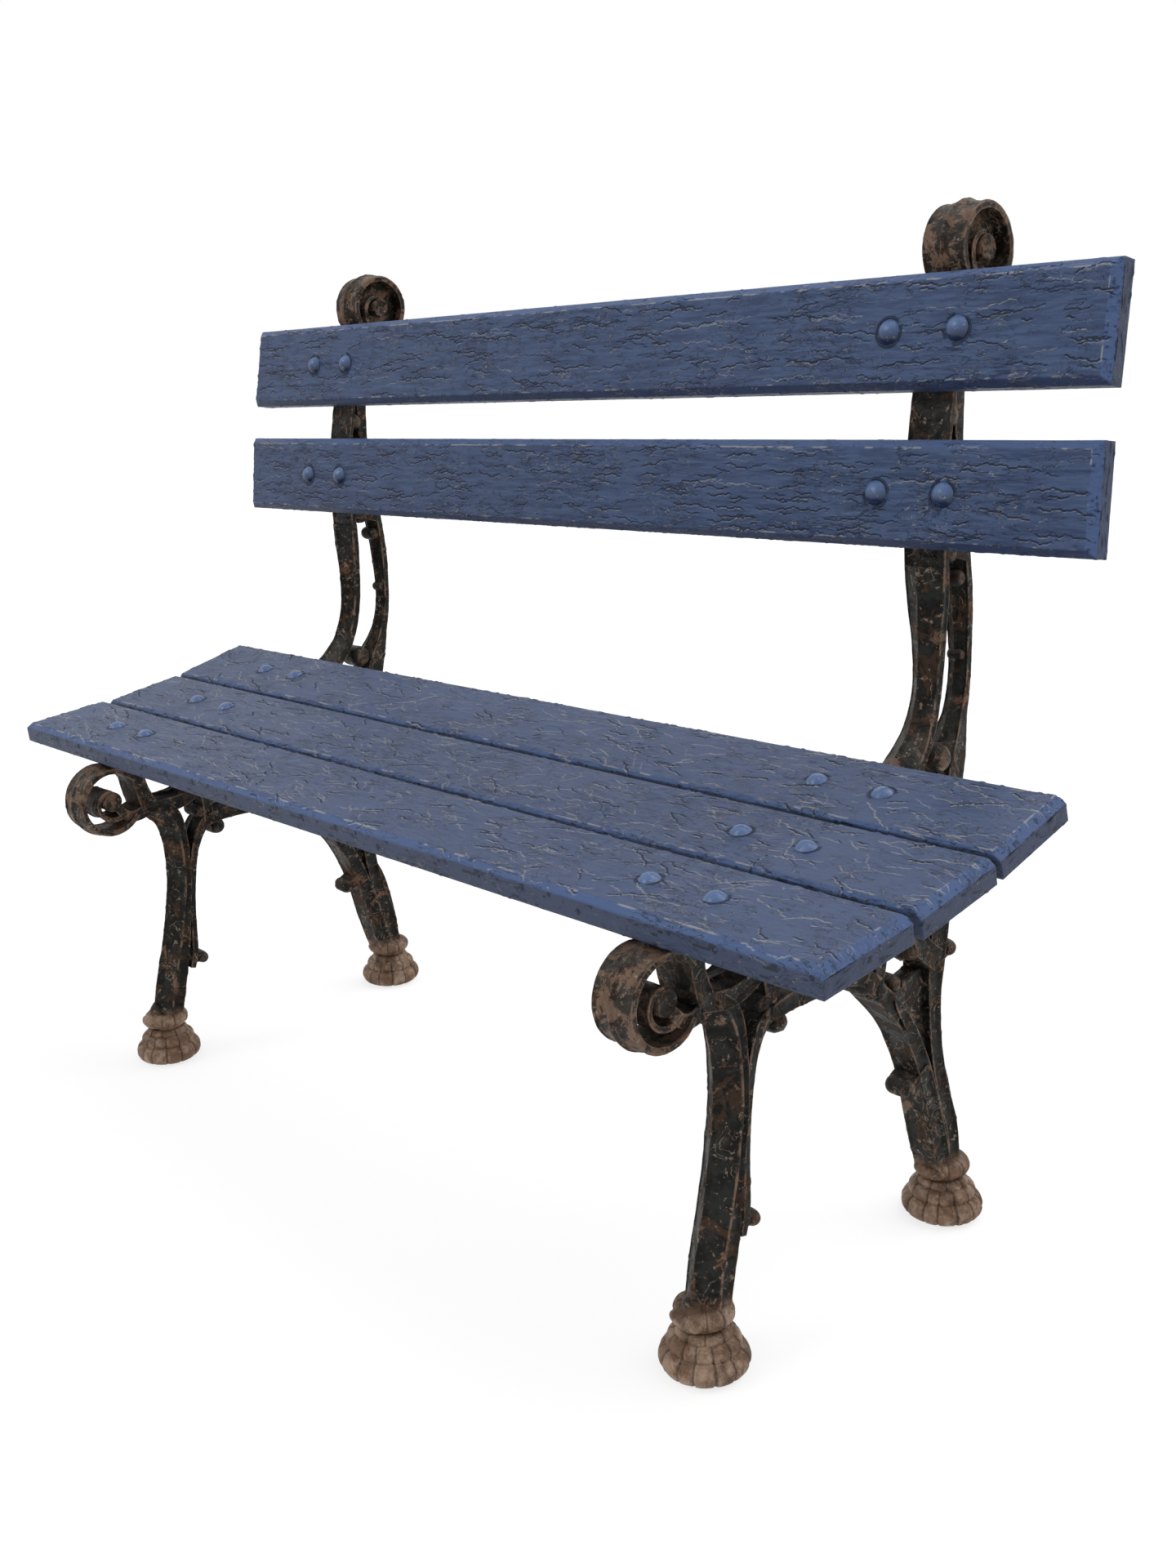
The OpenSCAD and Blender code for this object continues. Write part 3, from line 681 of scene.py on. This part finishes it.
def plank(name, shift):
    """A board with raised grain, splits that follow it, dents, and chipped edges."""
    y, z, tilt, width = PLANKS[name]
    near_bevel, far_bevel = EDGE_BEVELS[name]
    back = on_back(name)
    half = PLANK_LENGTH / 2
    pieces = Pieces()
    pieces.tube(*plank_rings(width, near_bevel, far_bevel))
    mesh = pieces.mesh(name)
    points = points_of(mesh)

    # The raised grain wanders along the board
    seen = points + (0, 37 * shift, 0)
    wander = (80, 30, 30)
    sway = seen + np.stack([np.zeros(len(points)), 9 * cloud(seen, wander, shift),
                            9 * cloud(seen, wander, shift + 5)], 1)
    grain = (BACK_GRAIN if back else SEAT_GRAIN) * cloud(sway, (70, 5, 6), shift, 3)
    dents = -DENT_DEPTH * soft_step(cloud(seen, (16, 7, 7), shift + 6, 2), 0.5, 0.75)

    # Cracks in the paint, and the one round each bolt head
    grid, cell = cracks(width, BACK_CRACKS if back else SEAT_CRACKS, int(shift))
    on_grid = np.rint((points[:, :2] + (half, 0)) / cell).astype(int)
    on_grid = np.clip(on_grid, 0, np.array(grid.shape[1:]) - 1)
    upper = soft_step(points[:, 2], -7, -2)
    split, lip = grid[:, on_grid[:, 0], on_grid[:, 1]] * upper
    ring = bolt_rings(points, width, (BACK_DOME if back else SEAT_DOME)[0])
    ring = ring * soft_step(cloud(seen, (9, 9, 9), shift + 11, 2), -0.5, 0.1)

    # Chips along the bevels, nicks in the end bevels and a ragged outer edge
    end_fall = END_BEVEL - (half - np.abs(points[:, 0]))
    edge_fall = np.maximum(near_bevel - points[:, 1], far_bevel - (width - points[:, 1]))
    arris = np.abs(np.maximum(end_fall, edge_fall))
    above = points[:, 2] > -END_BEVEL - 1
    chipped = soft_step(cloud(seen, (7, 7, 7), shift + 8, 2), 0.15, 0.5)
    chipped = chipped * (1 - soft_step(arris, 0.6, 2.2))
    nicks = soft_step(cloud(seen, (3, 3, 3), shift + 13, 1), 0.35, 0.65)
    nicks = nicks * soft_step(end_fall, -1.5, 0.5)
    side_near = np.minimum(points[:, 1], width - points[:, 1])
    side_near = np.minimum(side_near, half - np.abs(points[:, 0]))
    outer = 1 - soft_step(side_near, 0.3, 1.2)
    ragged = soft_step(cloud(seen, (9, 7, 3), shift + 15, 2), 0.3, 0.6) * outer
    push_out(mesh, (grain + dents) * (1 - 0.65 * outer) - CRACK_DEPTH * split + LIP_HEIGHT * lip
             - RING_DEPTH * ring - CHIP_DEPTH * chipped * above - NICK_DEPTH * nicks * above
             - RAGGED_DEPTH * ragged - SHRINKAGE)

    # Dark where the paint is cut, stored above 0, and pale below 0: a painted highlight on the lifted
    # lips of the cracks and along the arris where the bevels meet the face
    painted_arris_highlight = 1 - soft_step(arris, 0.2, 1.2)
    painted_arris_highlight = painted_arris_highlight * soft_step(cloud(seen, (14, 9, 9), shift + 17, 2), -0.05, 0.4)
    dark = np.maximum.reduce([split, 0.7 * ring, 0.75 * ragged, 0.5 * nicks * above])
    pale = np.maximum((0.6 if back else 1.0) * lip, 0.75 * painted_arris_highlight * above)
    stored = mesh.attributes.new("crack", "FLOAT", "POINT")
    stored.data.foreach_set("value", np.where(dark > pale, dark, -pale).astype(np.float32))

    turn = Matrix.Rotation(np.radians(tilt), 4, "X")
    mesh.transform(Matrix.Translation((0, y * MM, z * MM)) @ turn)
    return mesh


def blue_paint():
    """Old blue gloss: dusty on top and cracked, with painted light and shade: richer blue on bevels that
    face up, navy on those that face down, darker sides, underside and ends, and pale painted highlights
    on the crack edges and the arris.
    """
    slate, deep, dusty = (0.045, 0.073, 0.148), (0.021, 0.038, 0.092), (0.060, 0.083, 0.156)
    side, lit_bevel_blue, shaded_navy = (0.030, 0.039, 0.072), (0.050, 0.088, 0.200), (0.012, 0.022, 0.065)
    crack_dark, painted_crack_highlight = (0.004, 0.006, 0.014), (0.30, 0.29, 0.27)
    s = Shader("blue_paint")
    streaks = s.noise(20, 7, 0.68, s.stretched((1.0, 9.0, 9.0)))
    color = s.mix(s.between(streaks, 0.36, 0.62), deep, slate)
    facing_up = s.facing_up()
    dust = s.math("MULTIPLY", s.between(facing_up, 0.3, 0.95),
                  s.between(s.noise(14, 6, 0.65), 0.3, 0.7, 0.35, 0.9))
    color = s.mix(dust, color, dusty)
    # Painted light and shade on the bevels: richer blue where they face up, navy where they face down
    lit_and_shaded_bevel = s.mix(s.between(facing_up, -0.55, 0.15), shaded_navy, lit_bevel_blue)
    color = s.mix(s.between(s.drawn("wear"), 0.3, 0.9, 0.0, 0.8), color, lit_and_shaded_bevel)
    # Painted shade: the sides, underside and ends of the board are darker
    color = s.mix(s.between(s.drawn("wear"), -0.9, -0.3, 0.75, 0.0), color, side)

    # The modelled cracks, and two sizes of hair cracks between them
    dark = s.between(s.drawn("crack"), 0.12, 0.65)
    pale = s.between(s.drawn("crack"), -0.65, -0.1, 1.0, 0.0)
    for scale, stretch, gate_scale, width in ((19.0, (1.0, 5.0, 5.0), 12.0, 0.009),
                                              (34.0, (1.0, 2.2, 2.2), 19.0, 0.007)):
        field = s.noise(scale, 3, 0.55, s.stretched(stretch), 1.2)
        gate = s.between(s.noise(gate_scale, 4, 0.6), 0.46, 0.54)
        line = s.between(s.offset(field, 0.5), width * 0.6, width * 1.5, 1.0, 0.0)
        line = s.math("MULTIPLY", line, gate)
        # A pale rim beside one side of each hair crack is a painted highlight
        rim = s.between(s.offset(field, 0.5 + width * 2.4), width * 0.4, width, 1.0, 0.0)
        rim = s.math("MULTIPLY", rim, gate)
        dark = s.math("MAXIMUM", dark, s.math("MULTIPLY", line, 0.7))
        broken = s.between(s.noise(70, 3, 0.6), 0.44, 0.6, 0.0, 0.7)
        pale = s.math("MAXIMUM", pale, s.math("MULTIPLY", rim, broken))
    color = s.mix(s.math("MULTIPLY", pale, 0.62), color, painted_crack_highlight)
    color = s.mix(s.math("MULTIPLY", dark, 0.75), color, crack_dark)

    roughness = s.between(streaks, 0.3, 0.7, 0.40, 0.56)
    normal = s.bump(streaks, 0.0022)
    normal = s.bump(s.math("SUBTRACT", 1.0, dark), 0.0010, normal)
    return s.done(color, roughness, normal, 0.0, 0.22)


paint = blue_paint()
for number, node in enumerate(PLANKS):
    finish_piece(plank(node, 3.0 + 7.0 * number), node + "_board", paint, [node])

# ---- Coach bolts ----
# Steel coach bolts, two through each plank into each frame. Their domed heads stand on the show
# face under the same blue paint, and a square neck stops them turning while the nut is run up.
BOLT_GRIP = 49.5
NECK_HALF_WIDTH = 4.0
SHANK_RADIUS = 3.95
THREAD_RADIUS = 3.75
THREAD_DEPTH = 0.2
THREAD_PITCH = 1.25
THREAD_LENGTH = 22
PLACE_NAMES = {"seat_front": "seat_plank_front", "seat_middle": "seat_plank_middle",
               "seat_rear": "seat_plank_rear", "back_lower": "back_plank_lower",
               "back_upper": "back_plank_upper"}


def fastener_places(place, offset):
    """Matrices of the two bolts of one plank on one frame, z pointing out of the show face."""
    y, z, tilt, width = place
    face = Matrix.Translation((0, y * MM, z * MM)) @ Matrix.Rotation(np.radians(tilt), 4, "X")
    return [face @ Matrix.Translation(((offset + step * BOLT_SPACING / 2) * MM, width / 2 * MM, 0))
            for step in (-1, 1)]


def bolt_shape(pieces, radius, height):
    """A bolt pointing down from the show face at level 0, with a dome of a radius and height."""
    ball = (radius ** 2 + height ** 2) / (2 * height)
    lean = np.arcsin(radius / ball)
    dome = [(-0.2, 2.0), (-0.2, radius - 1.0), (0.0, radius - 0.2), (0.4, radius)]
    dome += [(max(0.6, height - ball + ball * np.cos(a)), ball * np.sin(a))
             for a in np.linspace(lean * 0.97, 0.03, 16)]
    turned(pieces, dome, (0, 0), "z", around=48, wear=1.0)

    neck = [(-5, 2.0), (-5, 4.0), (-4.6, 4.2), (-0.6, 4.2), (-0.1, 4.0), (-0.1, 2.0)]
    # turned() lessens a swell on a thin body, and this brings the corners back out
    corner_gain = 2.4

    def square_off(turn, along):
        to_flat = NECK_HALF_WIDTH / np.maximum(np.abs(np.cos(turn)), np.abs(np.sin(turn)))
        return (to_flat - NECK_HALF_WIDTH) * corner_gain

    turned(pieces, neck, (0, 0), "z", square_off, around=48)

    bottom = -BOLT_GRIP
    shank = [(bottom, 0.5), (bottom, 2.9), (bottom + 0.5, 3.4)]
    for level in np.arange(bottom + 0.8, bottom + THREAD_LENGTH, THREAD_PITCH / 5):
        shank.append((level, THREAD_RADIUS + THREAD_DEPTH * np.cos(2 * np.pi * level / THREAD_PITCH)))
    shank += [(bottom + THREAD_LENGTH + 0.5, SHANK_RADIUS), (-4.5, SHANK_RADIUS), (-4.4, 1.0)]
    turned(pieces, shank, (0, 0), "z", around=36)


def fasteners(shape, kind, material, roughen, seat_sizes=(), back_sizes=()):
    """One group of two for each plank on each frame, in place of the CAD node of that name.
    The sizes are what the shape is given on a seat plank and on a back plank."""
    for number, (short, plank_name) in enumerate(PLACE_NAMES.items()):
        sizes = back_sizes if on_back(plank_name) else seat_sizes
        for side, offset in (("left", -FRAME_OFFSET), ("right", FRAME_OFFSET)):
            node = f"{kind}_{short}_{side}"
            both = Pieces()
            for matrix in fastener_places(PLANKS[plank_name], offset):
                one = Pieces()
                shape(one, *sizes)
                base = both.count
                points = np.vstack(one.points) * MM
                turn, move = np.array(matrix)[:3, :3], np.array(matrix)[:3, 3]
                both.points.append((points @ turn.T + move) / MM)
                both.faces += [tuple(base + i for i in face) for face in one.faces]
                both.wear += one.wear
                both.count += one.count
            mesh = both.mesh(node + "_made")
            points = points_of(mesh)
            push_out(mesh, roughen * cloud(points, 2.5, number + offset * 0.01))
            finish_piece(mesh, node + "_made", material, [node])


def bolt_finish():
    """Blue gloss over the head, grey steel with rust bloom on the rest."""
    blue, worn_blue, shaded_navy = (0.052, 0.098, 0.215), (0.075, 0.125, 0.24), (0.008, 0.016, 0.048)
    bare, steel, rust = (0.30, 0.29, 0.27), (0.16, 0.15, 0.14), (0.13, 0.065, 0.035)
    s = Shader("painted_bolt")
    facing_up = s.facing_up()
    paint_and_shade = s.mix(s.between(s.noise(120, 5, 0.6), 0.42, 0.66), blue, worn_blue)
    # Painted shade: the lower side of each dome is darker navy
    paint_and_shade = s.mix(s.between(facing_up, -0.65, 0.7), shaded_navy, paint_and_shade)
    chips = s.between(s.noise(210, 4, 0.6), 0.64, 0.68, 0.0, 0.6)
    paint_and_shade = s.mix(chips, paint_and_shade, bare)
    metal_color = s.mix(s.between(s.noise(240, 5, 0.6), 0.42, 0.58), steel, rust)
    painted = s.between(s.drawn("wear"), 0.4, 0.6)
    color = s.mix(painted, metal_color, paint_and_shade)
    roughness = s.between(s.noise(150), 0.3, 0.7, 0.22, 0.36)
    normal = s.bump(s.noise(420, 4, 0.6), 0.00015)
    normal = s.bump(s.noise(90, 3, 0.5), 0.0006, normal)
    return s.done(color, roughness, normal, 0.0, 0.4)


fasteners(bolt_shape, "bolts", bolt_finish(), 0.08, SEAT_DOME, BACK_DOME)

# ---- Washers ----
# Plain round steel washers between each frame's lug and the nut, dulled and spotted with rust.
WASHER_RADIUS = 12
WASHER_HOLE = 4.6
WASHER_THICKNESS = 2


def washer_shape(pieces):
    top, bottom = LUG_BOTTOM, LUG_BOTTOM - WASHER_THICKNESS
    profile = [(bottom, WASHER_HOLE), (bottom, 8.0), (bottom, WASHER_RADIUS - 0.5),
               (bottom + 0.4, WASHER_RADIUS), (top - 0.4, WASHER_RADIUS), (top, WASHER_RADIUS - 0.4),
               (top, 8.0), (top, WASHER_HOLE)]
    turned(pieces, profile, (0, 0), "z", around=56)


def dull_steel():
    """Zinc gone dull grey, with small blooms of rust."""
    s = Shader("dull_steel")
    zinc, dark_zinc, rust = (0.30, 0.29, 0.27), (0.17, 0.165, 0.155), (0.20, 0.095, 0.045)
    color = s.mix(s.between(s.noise(90, 5, 0.6), 0.35, 0.65), dark_zinc, zinc)
    blooms = s.between(s.noise(130, 6, 0.7), 0.52, 0.62)
    color = s.mix(blooms, color, rust)
    roughness = s.between(s.noise(200), 0.3, 0.7, 0.38, 0.62)
    normal = s.bump(s.noise(500, 5, 0.6), 0.0002)
    normal = s.bump(blooms, 0.0002, normal)
    return s.done(color, roughness, normal, 0.55, 0.5)


steel = dull_steel()
fasteners(washer_shape, "washers", steel, 0.06)

# ---- Nuts ----
# Hexagonal steel nuts with chamfered corners, run up against the washers.
NUT_CORNER_RADIUS = 7.5
NUT_HOLE = 4.05
NUT_FACE = 5.6
NUT_THICKNESS = 6.5
# Wider than the corners, so that only the chamfers at top and bottom trim the hexagon
NO_TRIM = 9.0


def nut_shape(pieces):
    top = LUG_BOTTOM - WASHER_THICKNESS
    bottom = top - NUT_THICKNESS
    flat = NUT_CORNER_RADIUS * np.cos(np.pi / 6)
    chamfer = [flat + 0.1, flat + 0.7]
    levels = np.concatenate([[bottom, bottom], np.linspace(bottom, top, 10), [top, top]])
    limit = np.concatenate([[NUT_HOLE, NUT_FACE], chamfer, np.full(6, NO_TRIM), chamfer[::-1],
                            [NUT_FACE, NUT_HOLE]])
    turn = np.linspace(0, 2 * np.pi, 72, endpoint=False)[None]
    hexagon = flat / np.cos((turn + np.pi / 6) % (np.pi / 3) - np.pi / 6)
    radius = np.minimum(hexagon, limit[:, None])
    rings = np.stack([radius * np.cos(turn), radius * np.sin(turn),
                      np.broadcast_to(levels[:, None], radius.shape)], -1)
    pieces.tube(rings, 0.0)


fasteners(nut_shape, "nuts", steel, 0.05)

# ---- Studio ----
# A plain white floor and sky, with a broad soft light above the bench and a weaker one in front.
FLOOR_REACH = 60.0
FLOOR_GREY = (0.25, 0.25, 0.25)
FLOOR_GLOW = 0.74
corners = [(-FLOOR_REACH, -FLOOR_REACH, 0), (FLOOR_REACH, -FLOOR_REACH, 0),
           (FLOOR_REACH, FLOOR_REACH, 0), (-FLOOR_REACH, FLOOR_REACH, 0)]
floor_mesh = bpy.data.meshes.new("floor")
floor_mesh.from_pydata(corners, [], [(0, 1, 2, 3)])
floor = bpy.data.objects.new("floor", floor_mesh)
bpy.context.scene.collection.objects.link(floor)
white = Shader("white_floor")
nearly_flat = white.bump(white.noise(8, 2), 0.00001)
floor_mesh.materials.append(white.done(FLOOR_GREY, 0.95, nearly_flat, 0.0, 0.1))
white.feed(white.surface.inputs["Emission Color"], (1.0, 1.0, 1.0))
white.feed(white.surface.inputs["Emission Strength"], FLOOR_GLOW)

world = bpy.data.worlds.new("white_sky")
bpy.context.scene.world = world
world.use_nodes = True
world.node_tree.nodes["Background"].inputs["Color"].default_value = (1, 1, 1, 1)
world.node_tree.nodes["Background"].inputs["Strength"].default_value = 1.0

# Each light's turn in degrees, spread in degrees, and strength
SUNS = {"high_light": ((-28, 18, 0), 50, 1.3), "front_light": ((52, 0, -25), 24, 0.6)}
for name, (tilt, spread, strength) in SUNS.items():
    lamp = bpy.data.lights.new(name, "SUN")
    lamp.angle = np.radians(spread)
    lamp.energy = strength
    light = bpy.data.objects.new(name, lamp)
    light.rotation_euler = np.radians(tilt)
    bpy.context.scene.collection.objects.link(light)

camera_data = bpy.data.cameras.new("camera")
camera_data.sensor_width = 36
camera_data.lens = 35.99
camera_data.shift_x = 0.0304
camera_data.shift_y = -0.0761
camera = bpy.data.objects.new("camera", camera_data)
camera.location = (1.3535, -1.1200, 0.8776)
camera.rotation_euler = np.radians((79.798, 2.081, 47.757))
bpy.context.scene.collection.objects.link(camera)
bpy.context.scene.camera = camera
bpy.context.scene.view_settings.view_transform = "Standard"
